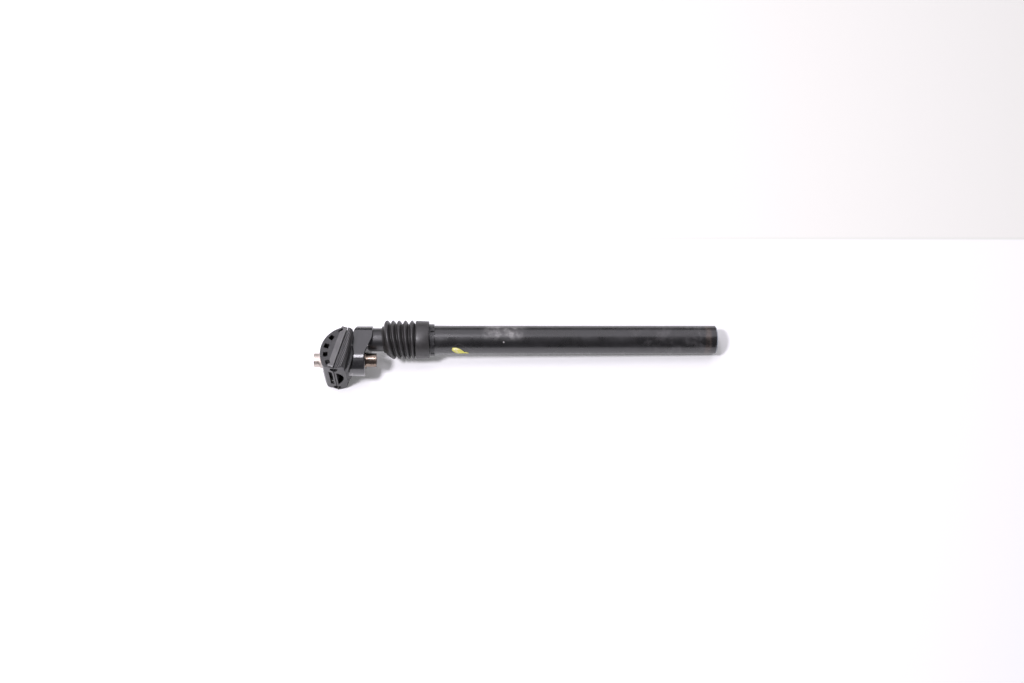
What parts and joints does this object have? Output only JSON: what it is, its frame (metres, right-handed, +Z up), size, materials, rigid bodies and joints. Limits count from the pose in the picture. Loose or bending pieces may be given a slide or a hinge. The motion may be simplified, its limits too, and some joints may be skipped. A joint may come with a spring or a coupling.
{
  "type": "suspension seatpost",
  "caption": "Telescoping bicycle seatpost with a rubber bellows, a set-back forged head and a tilting saddle rail clamp, lying on its side.",
  "frame": {"origin": "on the tube's axis, where the tube's round wall starts at its lower end", "axes": "+Z up from the ground that the post lies on, +X from the head towards the tube's lower end, -Y the side that faces the rear of the bicycle"},
  "size_m": [0.3837, 0.0592, 0.0552],
  "materials": {
    "tube_black": "satin black paint on an aluminium tube",
    "shaft_black": "satin black anodised",
    "head_black": "gloss black paint on a forging",
    "clamp_black": "satin black cast alloy",
    "boot_rubber": "moulded rubber",
    "nut_black": "black anodised",
    "zinc": "yellow zinc plate",
    "steel": "plain steel",
    "guide_plastic": "moulded acetal",
    "elastomer": "cast elastomer",
    "seal_rubber": "moulded rubber"
  },
  "bodies": {
    "tube": {"outer_tube": "tube_black", "collar_nut": "nut_black", "wiper_seal": "seal_rubber", "upper_bushing": "guide_plastic", "guide_keys": "steel", "preload_plug": "guide_plastic", "spring_seat": "guide_plastic", "main_spring": "steel", "elastomer_core": "elastomer", "boot": "boot_rubber"},
    "shaft": {"inner_shaft": "shaft_black", "lower_guide": "guide_plastic", "spring_cap": "guide_plastic", "head": "head_black", "clamp_bolt": "zinc", "bolt_washer": "zinc", "saddle_washer": "steel", "clamp_nut": "steel"},
    "clamp": {"lower_clamp": "clamp_black", "upper_clamp": "clamp_black"}
  },
  "joints": [
    {"name": "post_travel", "type": "slide", "parent": "tube", "child": "shaft", "axis": [0.9992, 0, -0.0396], "range_m": [0, 0.018], "stiffness_N_per_m": 4000, "springref_m": -0.01, "deforming": ["main_spring", "boot"]},
    {"name": "clamp_tilt", "type": "hinge", "parent": "shaft", "child": "clamp", "pos_m": [-0.36862, -0.021, 0.01437], "axis": [0.0396, -0.0119, 0.9991], "range_deg": [-8, 8]}
  ]
}
